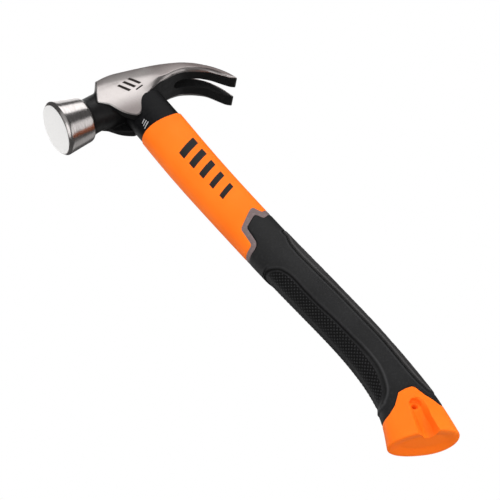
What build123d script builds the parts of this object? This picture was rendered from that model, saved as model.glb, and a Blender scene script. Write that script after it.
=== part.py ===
from build123d import *
import os
from math import cos, sin, pi, copysign

# Curved-claw hammer with a fibreglass-cored, overmoulded handle.
# Frame: +Z runs up the handle to the head, -X is the striking face, +X the claws,
# Y is the thickness.  The origin is on the floor level of the butt, under the
# middle of the head.
#
# Dimensions are in mm for a 333 mm hammer, with x = z = 0 on the bell axis near the
# eye; at_x, at_z and SIZE carry them into the part frame.  Angles are in radians.

SIZE = 1.03            # size of this hammer relative to the tables
BELL_AXIS_Z = 314.231  # height of the bell axis above the lowest point
FACE_X = -62.80        # striking face plane
CLAW_TIP_X = 64.60
MIDDLE_X = (FACE_X + CLAW_TIP_X) / 2
SIDES = (1, -1)        # +Y and -Y


# ---------------------------------------------------------------- shared helpers
def at_x(x):
    return (x - MIDDLE_X) * SIZE


def at_z(z):
    return (z + BELL_AXIS_Z) * SIZE


def side_view(points):
    """Side-view table (x, z) in the part frame."""
    return [(at_x(x), at_z(z)) for x, z in points]


def plan_view(points):
    """Plan table (x, y) in the part frame."""
    return [(at_x(x), y * SIZE) for x, y in points]


def end_view(points, side=1):
    """Cross-section table (y, z) in the part frame, mirrored in y for side -1."""
    return [(side * y * SIZE, at_z(z)) for y, z in points]


def cross_plane(x):
    """Plane across the head, facing +X, with local x along Y."""
    return Plane(origin=(at_x(x), 0, 0), x_dir=(0, 1, 0), z_dir=(1, 0, 0))


def station_plane(z, centre_x, tilt):
    """Plane across the handle, tilted about Y."""
    return Plane(origin=(at_x(centre_x), 0, at_z(z)), x_dir=(cos(tilt), 0, sin(tilt)),
                 z_dir=(-sin(tilt), 0, cos(tilt)))


def ruled_loft(sections):
    """Ruled loft through closed polygons, each given as (plane, points)."""
    with BuildPart() as body:
        for plane, points in sections:
            with BuildSketch(plane):
                with BuildLine():
                    Polyline(*points, close=True)
                make_face()
        loft(ruled=True)
    return body.part


# ---------------------------------------------------------------- handle section
SECTION_POINTS = 36
FACE_SQUARENESS = 2.15  # superellipse exponents of the two halves; 2 is an ellipse
REAR_SQUARENESS = 3.40
WIDEST_SHIFT = 0.2      # widest point lies this share of the half depth toward +X


def section_points(half_depth, half_thickness, rear=REAR_SQUARENESS):
    """Handle section: oval toward the face, squarer toward the claws."""
    points = []
    for i in range(SECTION_POINTS):
        angle = 2 * pi * i / SECTION_POINTS
        c, s = cos(angle), sin(angle)
        exponent = FACE_SQUARENESS if c < 0 else rear
        reach = half_depth * (1 + WIDEST_SHIFT if c < 0 else 1 - WIDEST_SHIFT)
        x = copysign(abs(c) ** (2 / exponent), c) * reach + WIDEST_SHIFT * half_depth
        y = copysign(abs(s) ** (2 / exponent), s) * half_thickness
        points.append((x * SIZE, y * SIZE))
    return points


# ---------------------------------------------------------------- eye and socket
SOCKET_X = -1.9        # centre of the collar and of its pocket in the head
SOCKET_TOP = -7.0      # ceiling of the pocket, top of the collar, floor of the resin
POCKET_BOTTOM = -40.0  # below the langets, so the pocket is open
POCKET_HALF = (14.4, 9.4)    # half depth (X), half thickness (Y)
COLLAR_HALF = (14.9, 12.3)
EYE_X = -1.0
# eye ellipses, waisted in the middle and flared to the top: z, half depth, half thickness
EYE = [(-9.0, 10.6, 7.2), (3.0, 9.4, 6.4), (20.0, 11.4, 7.8)]


def socket_prism(bottom, half_sizes):
    """Straight prism of handle section from `bottom` up to the socket ceiling."""
    with BuildPart() as prism:
        with BuildSketch(station_plane(bottom, SOCKET_X, 0)):
            with BuildLine():
                Spline(*section_points(*half_sizes), periodic=True)
            make_face()
        extrude(amount=(SOCKET_TOP - bottom) * SIZE)
    return prism.part


def eye_plug():
    """Solid that fills the eye."""
    with BuildPart() as plug:
        for z, half_depth, half_thickness in EYE:
            with BuildSketch(Plane.XY.offset(at_z(z))):
                with Locations((at_x(EYE_X), 0)):
                    Ellipse(half_depth * SIZE, half_thickness * SIZE)
        loft()
    return plug.part


# ---------------------------------------------------------------- hammer head
FACE_R = 16.70         # flat of the striking face
BELL_CHAMFER = 1.70
BELL_R = FACE_R + BELL_CHAMFER
BELL_REAR_X = -41.70
BELL_REAR_R = 15.10    # middle of the bevel at the rear of the bell
BELL_REAR_BEVEL = (1.0, 0.5)  # its length, and half its height
CHEEK_HALF = 13.20     # half thickness of cheeks and claws
LANGET_HALF = 11.60    # half thickness low on the langets

# side outline of cheeks and claws (x, z), in three runs
TOP_EDGE = [
    (-24.2, 16.3), (-23.4, 16.9), (-15.4, 18.6), (-9.5, 18.8), (-3.5, 18.2), (6.8, 17.0),
    (13.4, 16.0), (19.8, 14.7), (26.1, 12.9), (32.1, 10.6), (37.2, 8.5), (42.1, 5.9),
    (47.2, 2.4), (51.8, -1.8), (55.5, -5.7), (58.7, -10.1), (61.4, -14.7), (63.3, -19.3),
    (CLAW_TIP_X, -22.4)]
UNDERSIDE = [
    (64.5, -22.9), (60.9, -20.2), (58.4, -16.9), (56.2, -14.0), (54.0, -10.9),
    (51.3, -7.6), (47.3, -4.6), (42.8, -2.1), (36.5, 0.3), (29.4, 0.7), (24.6, 0.0),
    (20.2, -0.6), (16.1, -1.1), (10.9, -3.1), (4.5, -6.2), (0.4, -9.2), (-3.1, -11.9),
    (-6.3, -14.7), (-8.9, -17.7), (-11.0, -19.9)]
FRONT = [
    (-11.0, -19.9), (-13.8, -20.4), (-15.6, -19.7), (-18.3, -17.8), (-20.7, -15.6),
    (-22.8, -12.8), (-24.7, -9.5), (-26.5, -6.4), (-29.1, -4.3), (-31.8, -2.2),
    (-32.9, -0.5), (-31.3, 3.0), (-28.1, 8.9), (-24.2, 16.3)]

# wedges cut off both sides of the cheeks: rear end x, outline (y, z)
WEDGE_START_X = -45
CHEEK_WEDGES = [
    # toward the langet tips
    (15, [(CHEEK_HALF, -4), (LANGET_HALF, -23), (LANGET_HALF, -40), (30, -40), (30, -4)]),
    # toward the top edge
    (20, [(CHEEK_HALF, 8), (12.3, 19.5), (30, 19.5), (30, 8)]),
]
# plane that thins the cheeks toward the langets, by three points (x, y, z)
THINNING = ((-30.0, 10.05, -20.0), (0.0, 10.05, -20.0), (0.0, 13.22, -2.0))
THINNING_BLOCK = (92, 40)  # width and depth of the cutting block, larger than the cheek
# hollow between the langets, half its plan outline (x, y), its ceiling and depth
HOLLOW = [(-28.0, 0.0), (-28.0, 9.4), (-26.5, 9.3), (-24.0, 8.5), (-20.5, 6.5),
          (-13.5, 4.5), (-8.0, 4.4), (-8.0, 0.0)]
HOLLOW_TOP = -10.3
HOLLOW_DEPTH = 20
# neck rings: x, radius, height of the centre above the bell axis
NECK = [(-41.8, 13.7, 0.0), (-41.0, 13.1, 0.05), (-39.0, 12.5, 0.3), (-35.0, 12.3, 1.05),
        (-32.0, 12.2, 1.6), (-29.0, 12.5, 1.7), (-24.0, 13.0, 1.9)]
# bevel low on the claw sides: x, ridge z, underside z, half thickness at the underside
CLAW_SIDE = [
    (-2.0, -6.0, -11.0, 12.6), (4.6, -1.2, -6.1, 11.7), (10.6, 0.8, -3.2, 11.3),
    (16.0, 1.7, -1.1, 11.0), (22.0, 1.4, -0.3, 10.7), (27.0, 1.7, 0.5, 10.6),
    (36.5, 1.4, 0.3, 10.5), (42.8, -1.0, -2.1, 10.5), (47.3, -3.4, -4.6, 10.5),
    (51.3, -6.3, -7.6, 11.1), (54.0, -9.5, -10.9, 11.7), (58.4, -14.5, -16.9, 12.6),
    (60.9, -17.7, -20.2, 12.9), (66.0, -23.0, -26.0, 13.25)]
CLAW_RIDGE_HALF = 13.25  # half thickness at the ridge, just outside the cheek
CLAW_CUT_HALF = 22       # outer limit of the bevel cutter
CLAW_CUT_BELOW = 2.0     # run of the cutter below the underside
# nail slot: x, underside z, top z, half width at the underside, half width at the top
NAIL_SLOT = [
    (30.3, 0.6, 11.2, 1.2, 0.15), (31.0, 0.6, 10.9, 2.2, 0.25),
    (32.5, 0.6, 10.4, 3.1, 0.4), (35.0, 0.4, 9.4, 3.8, 0.6),
    (40.0, -1.0, 7.0, 4.0, 0.75), (47.0, -4.4, 2.6, 4.0, 0.9),
    (54.0, -10.9, -4.1, 4.0, 1.3), (58.5, -17.0, -9.8, 4.0, 2.2),
    (62.0, -21.2, -16.0, 4.05, 3.2), (65.0, -24.5, -22.5, 4.2, 4.1),
    (72.0, -34.0, -33.0, 4.6, 4.6)]
SLOT_BELOW = 4  # run of the slot cutter past the underside
SLOT_ABOVE = 3  # and past the top


def thinning_plane(side):
    """Plane on the thinning facet of one side, facing out and down."""
    a, b, c = [Vector(at_x(x), side * y * SIZE, at_z(z)) for x, y, z in THINNING]
    normal = (b - a).cross(c - a).normalized()
    if normal.Z > 0:
        normal = normal * -1
    return Plane(origin=a, z_dir=normal)


def claw_bevel(side):
    """Cutter that leans one claw side in toward the underside."""
    sections = []
    for x, ridge_z, under_z, under_half in CLAW_SIDE:
        low_z = under_z - CLAW_CUT_BELOW
        outline = [(CLAW_RIDGE_HALF, ridge_z), (under_half, under_z),
                   (under_half - 0.6, low_z), (CLAW_CUT_HALF, low_z),
                   (CLAW_CUT_HALF, ridge_z)]
        sections.append((cross_plane(x), end_view(outline, side)))
    return ruled_loft(sections)


def neck():
    """Round neck between bell and cheeks."""
    with BuildPart() as body:
        for x, radius, centre_z in NECK:
            plane = Plane(origin=(at_x(x), 0, at_z(centre_z)), x_dir=(0, 1, 0),
                          z_dir=(1, 0, 0))
            with BuildSketch(plane):
                Circle(radius * SIZE)
        loft()
    return body.part


def nail_slot():
    """Slot cutter, wide on the underside and narrow on the top."""
    sections = []
    for x, under_z, top_z, under_half, top_half in NAIL_SLOT:
        flare = (under_half - top_half) / (top_z - under_z)
        low_half, low_z = under_half + SLOT_BELOW * flare, under_z - SLOT_BELOW
        high_half, high_z = max(top_half - 0.1, 0.1), top_z + SLOT_ABOVE
        outline = [(-low_half, low_z), (low_half, low_z), (top_half, top_z),
                   (high_half, high_z), (-high_half, high_z), (-top_half, top_z)]
        sections.append((cross_plane(x), end_view(outline)))
    return ruled_loft(sections)


def build_hammer_head():
    bevel_length, bevel_rise = BELL_REAR_BEVEL
    block_width, block_depth = THINNING_BLOCK
    with BuildPart() as head:
        # cheeks and claws: side outline, full thickness
        with BuildSketch(Plane.XZ):
            with BuildLine():
                Spline(*side_view(TOP_EDGE))
                Line(*side_view([TOP_EDGE[-1], UNDERSIDE[0]]))
                Spline(*side_view(UNDERSIDE))
                Spline(*side_view(FRONT))
            make_face()
        extrude(amount=CHEEK_HALF * SIZE, both=True)
        for end_x, outline in CHEEK_WEDGES:
            for side in SIDES:
                with BuildSketch(Plane.YZ.offset(at_x(WEDGE_START_X))):
                    with BuildLine():
                        Polyline(*end_view(outline, side), close=True)
                    make_face()
                extrude(amount=(end_x - WEDGE_START_X) * SIZE, mode=Mode.SUBTRACT)
        for side in SIDES:
            with BuildSketch(thinning_plane(side)):
                Rectangle(block_width, block_width)
            extrude(amount=block_depth, mode=Mode.SUBTRACT)
        # hollow between the langets, under the neck
        mirrored = [(x, -y) for x, y in HOLLOW[::-1][1:-1]]
        with BuildSketch(Plane.XY.offset(at_z(HOLLOW_TOP))):
            with BuildLine():
                Polyline(*plan_view(HOLLOW + mirrored), close=True)
            make_face()
        extrude(amount=-HOLLOW_DEPTH * SIZE, mode=Mode.SUBTRACT)
        for side in SIDES:
            add(claw_bevel(side), mode=Mode.SUBTRACT)
        add(neck())
        # bell, turned about its axis
        bell_profile = [
            (FACE_X, 0), (FACE_X, FACE_R), (FACE_X + BELL_CHAMFER, BELL_R),
            (BELL_REAR_X - bevel_length, BELL_REAR_R + bevel_rise),
            (BELL_REAR_X, BELL_REAR_R - bevel_rise), (BELL_REAR_X, 0)]
        with BuildSketch(Plane.XZ):
            with BuildLine():
                Polyline(*side_view(bell_profile), close=True)
            make_face()
        revolve(axis=Axis((at_x(FACE_X), 0, at_z(0)), (1, 0, 0)), revolution_arc=360)
        add(nail_slot(), mode=Mode.SUBTRACT)
        # pocket for the collar, then the eye above it
        add(socket_prism(POCKET_BOTTOM, POCKET_HALF), mode=Mode.SUBTRACT)
        add(eye_plug(), mode=Mode.SUBTRACT)
    return head.part


# ---------------------------------------------------------------- core rod
ROD_HALF_X = 7.5
ROD_HALF_Y = 5.0
ROD_TOP = (EYE_X, 15.2)  # ends of the rod axis (x, z)
ROD_END = (3.0, -279.0)
ROD_CHAMFER = 0.6        # lower end, not scaled by SIZE


def build_core_rod():
    top = Vector(at_x(ROD_TOP[0]), 0, at_z(ROD_TOP[1]))
    end = Vector(at_x(ROD_END[0]), 0, at_z(ROD_END[1]))
    with BuildPart() as rod:
        with BuildSketch(Plane(origin=end, x_dir=(1, 0, 0), z_dir=top - end)):
            SlotOverall(2 * ROD_HALF_X * SIZE, 2 * ROD_HALF_Y * SIZE)
        extrude(amount=(top - end).length)
        chamfer(rod.faces().sort_by(Axis.Z)[0].edges(), ROD_CHAMFER)
    return rod.part


# ---------------------------------------------------------------- eye resin
RESIN_TOP = 14.8


def build_eye_resin(rod):
    with BuildPart() as resin:
        add(eye_plug())
        split(bisect_by=Plane.XY.offset(at_z(RESIN_TOP)), keep=Keep.BOTTOM)
        split(bisect_by=Plane.XY.offset(at_z(SOCKET_TOP)), keep=Keep.TOP)
        add(rod, mode=Mode.SUBTRACT)
    return resin.part


# ---------------------------------------------------------------- neck collar
JACKET_TOP = -32.4     # upper end of the jacket, where the collar stands on it


def build_neck_collar(head, rod):
    with BuildPart() as collar:
        add(socket_prism(JACKET_TOP, COLLAR_HALF))
        add(head, mode=Mode.SUBTRACT)
        add(rod, mode=Mode.SUBTRACT)
    return collar.part


# ---------------------------------------------------------------- handle zones
SKIN = 2.6             # thickness of the grip skin over the jacket core
STRIP_DEEP = 1.4       # palm strip, set into the grip skin
STRIP_PROUD = 0.35     # and standing above it
PANEL_DEEP = 0.7       # recess of the side panel
WINDOW_HALF = 40.0     # half thickness of the zone prisms, past the handle sides

# handle stations: z, centre x, half depth (X), half thickness (Y), tilt,
# squareness of the rear half
STATIONS = [
    (-30.0, -1.72, 15.55, 12.90, 0.000, REAR_SQUARENESS),
    (-60.0, -2.34, 15.38, 12.90, 0.000, REAR_SQUARENESS),
    (-90.0, -2.21, 15.02, 12.90, 0.000, REAR_SQUARENESS),
    (-120.0, -1.37, 14.72, 12.90, 0.000, REAR_SQUARENESS),
    (-150.0, -0.22, 14.42, 12.90, 0.000, REAR_SQUARENESS),
    (-180.0, 1.55, 14.27, 12.90, 0.000, REAR_SQUARENESS),
    (-210.0, 3.38, 13.85, 12.90, 0.000, REAR_SQUARENESS),
    (-235.0, 4.40, 13.75, 12.80, -0.020, REAR_SQUARENESS),
    (-256.0, 3.88, 14.32, 12.70, -0.080, REAR_SQUARENESS),
    (-272.0, 2.53, 15.70, 12.80, -0.170, 2.96),
    (-287.0, -0.14, 17.91, 13.10, -0.244, 2.53),
    (-306.2, -6.22, 21.58, 13.82, -0.404, 2.10),
]

# zone boundaries in side view (x, z); the first three run from the claw side (+X)
# to the face side, and pairs of them close a zone
BAND_TOP = [
    (30, -129.1), (10.2, -129.1), (7.4, -130.2), (5.6, -127.7), (4.2, -124.5),
    (1.9, -124.7), (-10.8, -133.2), (-11.5, -145.3), (-12.6, -146.5), (-30, -147.1)]
BAND_LOW = [
    (30, -133.2), (10.0, -133.2), (6.3, -134.8), (4.6, -134.4), (2.2, -130.3),
    (0.7, -130.2), (-8.0, -135.0), (-8.9, -146.6), (-10.7, -149.4), (-30, -151.8)]
BUTT_LINE = [
    (30, -297.0), (12.1, -295.0), (10.4, -291.8), (7.6, -286.1), (6.0, -279.4),
    (4.7, -277.9), (0.3, -277.0), (-4.0, -276.7), (-5.9, -278.3), (-10.3, -281.8),
    (-14.8, -283.6), (-35, -285.0)]
# closed on the claw side
STRIP_LINE = [
    (35, -147.4), (10.9, -148.2), (9.2, -153.3), (7.1, -159.2), (6.8, -162.4),
    (6.7, -169.8), (7.3, -179.0), (8.0, -188.0), (8.8, -197.0), (9.5, -205.7),
    (9.9, -214.9), (11.0, -237.1), (11.2, -246.1), (10.9, -255.7), (10.5, -265.2),
    (10.4, -274.3), (11.1, -280.5), (14.1, -286.5), (35, -289.5)]
# closed on the face side
PANEL_LINE = [
    (-35, -162.8), (-14.3, -163.2), (-13.5, -164.2), (-11.6, -166.5), (-8.5, -170.5),
    (-6.8, -175.3), (-5.9, -180.9), (-5.5, -191.4), (-4.6, -205.0), (-3.2, -217.1),
    (-2.4, -230.6), (-1.8, -239.2), (-1.7, -248.3), (-2.4, -256.6), (-4.2, -263.3),
    (-7.2, -270.1), (-10.0, -273.4), (-12.8, -275.2), (-15.0, -275.9), (-35, -276.0)]


def handle_blank(inset):
    """Closed loft of the whole handle, `inset` below the outer surface."""
    with BuildPart() as blank:
        for z, centre_x, half_depth, half_thickness, tilt, rear in STATIONS:
            with BuildSketch(station_plane(z, centre_x, tilt)):
                with BuildLine():
                    Spline(*section_points(half_depth - inset, half_thickness - inset, rear),
                           periodic=True)
                make_face()
        loft()
    return blank.part


def side_window(points):
    """Prism through the whole thickness over a side-view outline."""
    with BuildPart() as prism:
        with BuildSketch(Plane.XZ):
            with BuildLine():
                Polyline(*side_view(points), close=True)
            make_face()
        extrude(amount=WINDOW_HALF, both=True)
    return prism.part


# ---------------------------------------------------------------- jacket
TOP_CHAMFER = 0.5      # not scaled by SIZE
BASE_RIM = 1.1         # rounding of the rim of the butt
SPINE_TOP = -100       # upper end of the jacket core under the grip
SPINE_END = (-300.0, -4.0, -0.36)  # its lower end: z, centre x, tilt
HOLE_X, HOLE_Z = -1.0, -288.0      # lanyard hole
HOLE_R = 1.45
HOLE_LENGTH = 60       # cutter lengths, past the handle sides
RECESS_LENGTH = 12
RECESS_R = 3.6         # round recess about the hole
RECESS_FLOORS = [(-1, 9.9), (1, 11.6)]  # side, distance of the floor from y = 0

# scoop in the -Y side of the butt: z, then x of the face-side edge, the two sides of
# the floor and the claw-side edge, then floor y
SCOOP = [
    (-284.3, -1.6, -0.9, 0.9, 1.6, -12.9), (-286.0, -4.6, -2.8, 1.9, 3.4, -11.7),
    (-288.5, -6.4, -3.6, 1.8, 3.9, -10.7), (-293.0, -8.3, -3.9, 1.0, 3.0, -9.0),
    (-298.0, -10.6, -4.7, 0.0, 1.2, -7.1), (-303.0, -12.7, -5.5, -0.6, 0.1, -5.2),
    (-308.0, -14.8, -6.2, -1.2, -0.9, -3.4), (-316.0, -18.2, -7.4, -2.2, -2.5, -0.5)]
SCOOP_EDGE_Y = -13.2   # level at which the edges are given
SCOOP_OUTER_Y = -22.0  # the walls run on to here, outside the handle
SCOOP_CORNER = 0.7     # inset of the flat floor, for the bevelled corners


def scoop_cutter():
    sections = []
    for z, face_edge, face_floor, claw_floor, claw_edge, floor_y in SCOOP:
        spread = (SCOOP_OUTER_Y - floor_y) / (SCOOP_EDGE_Y - floor_y)
        shoulder_y = floor_y + (SCOOP_EDGE_Y - floor_y) * 0.16
        face_run = face_edge - face_floor
        claw_run = claw_edge - claw_floor
        outline = [(face_floor + face_run * spread, SCOOP_OUTER_Y),
                   (face_floor + face_run * 0.22 - 0.1, shoulder_y),
                   (face_floor + SCOOP_CORNER, floor_y),
                   (claw_floor - SCOOP_CORNER, floor_y),
                   (claw_floor + 0.1, shoulder_y),
                   (claw_floor + claw_run * spread, SCOOP_OUTER_Y)]
        sections.append((Plane.XY.offset(at_z(z)), plan_view(outline)))
    return ruled_loft(sections)


def jacket_spine(core):
    """Part of the jacket that runs under the grip skin."""
    with BuildPart() as spine:
        add(core)
        split(bisect_by=Plane.XY.offset(at_z(SPINE_TOP)), keep=Keep.BOTTOM)
        split(bisect_by=station_plane(*SPINE_END), keep=Keep.TOP)
    return spine.part


def hole_plane(y, direction):
    """Plane on the lanyard hole at height y, facing along Y by `direction`."""
    return Plane(origin=(at_x(HOLE_X), y * SIZE, at_z(HOLE_Z)), x_dir=(1, 0, 0),
                 z_dir=(0, direction, 0))


def build_jacket(outer, core, rod):
    with BuildPart() as jacket:
        add(outer)
        split(bisect_by=Plane.XY.offset(at_z(JACKET_TOP)), keep=Keep.BOTTOM)
        chamfer(jacket.faces().sort_by(Axis.Z)[-1].edges(), TOP_CHAMFER)
        base = jacket.faces().filter_by(GeomType.PLANE).sort_by(Axis.Z)[0]
        fillet(base.edges(), BASE_RIM * SIZE)
        # clear the grip and band zone, then put the slimmer spine back in it
        add(side_window(BAND_TOP + BUTT_LINE[::-1]), mode=Mode.SUBTRACT)
        add(jacket_spine(core))
        add(rod, mode=Mode.SUBTRACT)
        add(scoop_cutter(), mode=Mode.SUBTRACT)
        # round recesses and bore of the lanyard hole
        for side, floor in RECESS_FLOORS:
            with Locations(hole_plane(side * floor, side)):
                Cylinder(RECESS_R * SIZE, RECESS_LENGTH,
                         align=(Align.CENTER, Align.CENTER, Align.MIN), mode=Mode.SUBTRACT)
        with Locations(hole_plane(0, -1)):
            Cylinder(HOLE_R * SIZE, HOLE_LENGTH, mode=Mode.SUBTRACT)
    return jacket.part


# ---------------------------------------------------------------- handle skins
def build_accent_band(outer, core):
    with BuildPart() as band:
        add(outer)
        add(side_window(BAND_TOP + BAND_LOW[::-1]), mode=Mode.INTERSECT)
        add(core, mode=Mode.SUBTRACT)
    return band.part


def build_palm_strip(strip_floor):
    with BuildPart() as strip:
        add(handle_blank(-STRIP_PROUD))
        add(side_window(STRIP_LINE), mode=Mode.INTERSECT)
        add(strip_floor, mode=Mode.SUBTRACT)
    return strip.part


def build_grip(outer, core, strip_floor):
    with BuildPart() as grip:
        add(outer)
        add(side_window(BAND_LOW + BUTT_LINE[::-1]), mode=Mode.INTERSECT)
        add(core, mode=Mode.SUBTRACT)
        add(side_window(STRIP_LINE) - strip_floor, mode=Mode.SUBTRACT)
        add(side_window(PANEL_LINE) - handle_blank(PANEL_DEEP), mode=Mode.SUBTRACT)
    return grip.part


# ---------------------------------------------------------------- build and export
hammer_head = build_hammer_head()
core_rod = build_core_rod()
outer_blank = handle_blank(0.0)
core_blank = handle_blank(SKIN)
strip_floor_blank = handle_blank(STRIP_DEEP)

pieces = {
    "hammer_head": hammer_head,
    "core_rod": core_rod,
    "eye_resin": build_eye_resin(core_rod),
    "neck_collar": build_neck_collar(hammer_head, core_rod),
    "jacket": build_jacket(outer_blank, core_blank, core_rod),
    "accent_band": build_accent_band(outer_blank, core_blank),
    "palm_strip": build_palm_strip(strip_floor_blank),
    "grip": build_grip(outer_blank, core_blank, strip_floor_blank),
}

os.makedirs("parts", exist_ok=True)
for name, piece in pieces.items():
    piece.label = name
    export_step(piece, f"parts/{name}.step")
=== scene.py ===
"""Claw hammer standing on its butt, with a moulded handle and a forged head.

The handle runs up +Z from the floor at z = 0. The striking face looks along -X, the claws
reach to +X, and the thickness lies along Y, with the near side at -Y. Every piece is a closed
mesh; most are rings swept down the handle, displaced, then trimmed with booleans.
"""
import bmesh
import bpy
import math
import numpy as np
from itertools import product
from mathutils import Matrix, Vector


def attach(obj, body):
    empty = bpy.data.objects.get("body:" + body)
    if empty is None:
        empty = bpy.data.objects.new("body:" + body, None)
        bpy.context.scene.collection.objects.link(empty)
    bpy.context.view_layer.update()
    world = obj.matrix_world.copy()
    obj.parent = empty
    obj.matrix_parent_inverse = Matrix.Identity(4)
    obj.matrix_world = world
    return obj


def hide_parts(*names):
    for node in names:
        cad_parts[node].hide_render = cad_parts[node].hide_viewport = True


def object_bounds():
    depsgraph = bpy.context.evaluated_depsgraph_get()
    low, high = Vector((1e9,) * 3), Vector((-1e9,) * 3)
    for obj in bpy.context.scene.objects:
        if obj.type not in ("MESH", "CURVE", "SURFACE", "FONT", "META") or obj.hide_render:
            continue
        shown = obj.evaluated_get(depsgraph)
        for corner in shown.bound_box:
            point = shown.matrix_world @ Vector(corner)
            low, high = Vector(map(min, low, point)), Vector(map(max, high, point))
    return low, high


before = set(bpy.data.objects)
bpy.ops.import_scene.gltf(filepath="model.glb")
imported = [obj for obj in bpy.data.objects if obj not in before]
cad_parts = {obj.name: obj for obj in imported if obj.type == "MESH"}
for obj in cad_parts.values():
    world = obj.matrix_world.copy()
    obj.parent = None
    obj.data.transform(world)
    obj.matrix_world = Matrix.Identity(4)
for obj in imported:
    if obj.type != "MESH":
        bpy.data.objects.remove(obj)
CAD_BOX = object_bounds()

# ------------------------------------------------------------------ frame of the tables
# Shape tables are in table millimetres, with z = 0 on the bell axis and x = 0 near the eye.
TABLE_SCALE = 1.03       # real millimetres in one table millimetre
BELL_AXIS_Z = 314.231    # height of the bell axis above the floor, table mm
ORIGIN_X = 0.90          # table x of the frame's origin


def to_metres(points):
    x, y, z = np.moveaxis(np.asarray(points, float), -1, 0)
    return np.stack([(x - ORIGIN_X) * TABLE_SCALE, y * TABLE_SCALE,
                     (z + BELL_AXIS_Z) * TABLE_SCALE], -1) / 1000.0


def to_table(points):
    x, y, z = np.moveaxis(np.asarray(points, float) * 1000.0 / TABLE_SCALE, -1, 0)
    return np.stack([x + ORIGIN_X, y, z - BELL_AXIS_Z], -1)


# ------------------------------------------------------------------ small maths
def smoothstep(low, high, value):
    t = np.clip((value - low) / (high - low), 0.0, 1.0)
    return t * t * (3 - 2 * t)


def hump(value, width):
    """Gaussian bump of height 1 at value 0."""
    return np.exp(-(value / width) ** 2)


def softplus(value, width):
    return width * np.logaddexp(0.0, value / width)


def smooth_min(a, b, width):
    h = np.clip(0.5 + 0.5 * (b - a) / width, 0, 1)
    return b * (1 - h) + a * h - width * h * (1 - h)


def smooth_max(a, b, width):
    return -smooth_min(-a, -b, width)


def column(table, at, index=1):
    """Column of a table, interpolated over its first column."""
    return np.interp(at, table[:, 0], table[:, index])


def clip_corners(line):
    """One round of corner cutting on an open line; a cut is at most 0.9 mm long."""
    points = np.asarray(line, float)
    out = [points[0]]
    for start, end in zip(points[:-1], points[1:]):
        share = min(0.25, 0.9 / np.linalg.norm(end - start))
        out += [start + (end - start) * share, end - (end - start) * share]
    out.append(points[-1])
    return np.array(out)


def catmull(line, per_span):
    """Catmull-Rom curve through the points of an open line."""
    points = np.asarray(line, float)
    points = np.vstack([2 * points[0] - points[1], points, 2 * points[-1] - points[-2]])
    out = []
    for p0, p1, p2, p3 in zip(points[:-3], points[1:-2], points[2:-1], points[3:]):
        for t in np.linspace(0, 1, per_span, endpoint=False):
            out.append(0.5 * ((2 * p1) + (-p0 + p2) * t + (2 * p0 - 5 * p1 + 4 * p2 - p3) * t * t
                              + (-p0 + 3 * p1 - 3 * p2 + p3) * t ** 3))
    out.append(points[-2])
    return np.array(out)


def line_distance(x, z, line):
    """Distance from points to an open polyline."""
    best = np.full(x.shape, 1e18)
    for (ax, az), (bx, bz) in zip(line[:-1], line[1:]):
        dx, dz = bx - ax, bz - az
        t = np.clip(((x - ax) * dx + (z - az) * dz) / (dx * dx + dz * dz + 1e-18), 0, 1)
        best = np.minimum(best, (x - ax - t * dx) ** 2 + (z - az - t * dz) ** 2)
    return np.sqrt(best)


def outline_distance(x, z, outline):
    """Signed distance to a closed outline, negative inside."""
    closed = np.vstack([outline, outline[:1]])
    inside = np.zeros(x.shape, bool)
    for (ax, az), (bx, bz) in zip(closed[:-1], closed[1:]):
        if abs(bz - az) > 1e-12:
            inside ^= ((az > z) != (bz > z)) & (x < ax + (bx - ax) * (z - az) / (bz - az))
    distance = line_distance(x, z, closed)
    return np.where(inside, -distance, distance)


def hash_noise(i, j, seed):
    value = np.sin(i * 127.1 + j * 311.7 + seed * 74.7) * 43758.5453
    return value - np.floor(value)


def value_noise(u, v, seed):
    i, j = np.floor(u), np.floor(v)
    fu, fv = u - i, v - j
    fu, fv = fu * fu * (3 - 2 * fu), fv * fv * (3 - 2 * fv)
    a, b = hash_noise(i, j, seed), hash_noise(i + 1, j, seed)
    c, d = hash_noise(i, j + 1, seed), hash_noise(i + 1, j + 1, seed)
    return (a * (1 - fu) + b * fu) * (1 - fv) + (c * (1 - fu) + d * fu) * fv


# ------------------------------------------------------------------ mesh helpers
def new_object(name, verts, faces):
    """Mesh object from vertices in metres; faces are a list, or an array of equal faces."""
    verts = np.asarray(verts, np.float32)
    mesh = bpy.data.meshes.new(name)
    if isinstance(faces, np.ndarray):
        count, corners = faces.shape
        mesh.vertices.add(len(verts))
        mesh.vertices.foreach_set("co", verts.ravel())
        mesh.loops.add(count * corners)
        mesh.loops.foreach_set("vertex_index", faces.astype(np.int32).ravel())
        mesh.polygons.add(count)
        starts = np.arange(0, count * corners, corners, dtype=np.int32)
        mesh.polygons.foreach_set("loop_start", starts)
    else:
        mesh.from_pydata([tuple(map(float, v)) for v in verts], [], faces)
    mesh.update(calc_edges=True)
    ob = bpy.data.objects.new(name, mesh)
    bpy.context.scene.collection.objects.link(ob)
    return ob


def solid(verts, faces):
    """Closed body from table vertices, normals outward. It is named later, or used up."""
    ob = new_object("part", to_metres(verts), faces)
    bm = bmesh.new()
    bm.from_mesh(ob.data)
    bmesh.ops.recalc_face_normals(bm, faces=bm.faces)
    bm.to_mesh(ob.data)
    bm.free()
    return ob


def tube(rows):
    """Closed body from a stack of rings (rings, points, 3), ends filled."""
    rows = np.asarray(rows)
    rings, count = rows.shape[:2]
    i = np.arange(rings - 1)[:, None] * count
    j = np.arange(count)[None, :]
    after = (j + 1) % count
    quads = np.stack([i + j, i + after, i + count + after, i + count + j], -1)
    faces = quads.reshape(-1, 4).tolist()
    faces.append(list(range(count))[::-1])
    faces.append([(rings - 1) * count + k for k in range(count)])
    return solid(rows.reshape(-1, 3), faces)


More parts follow.
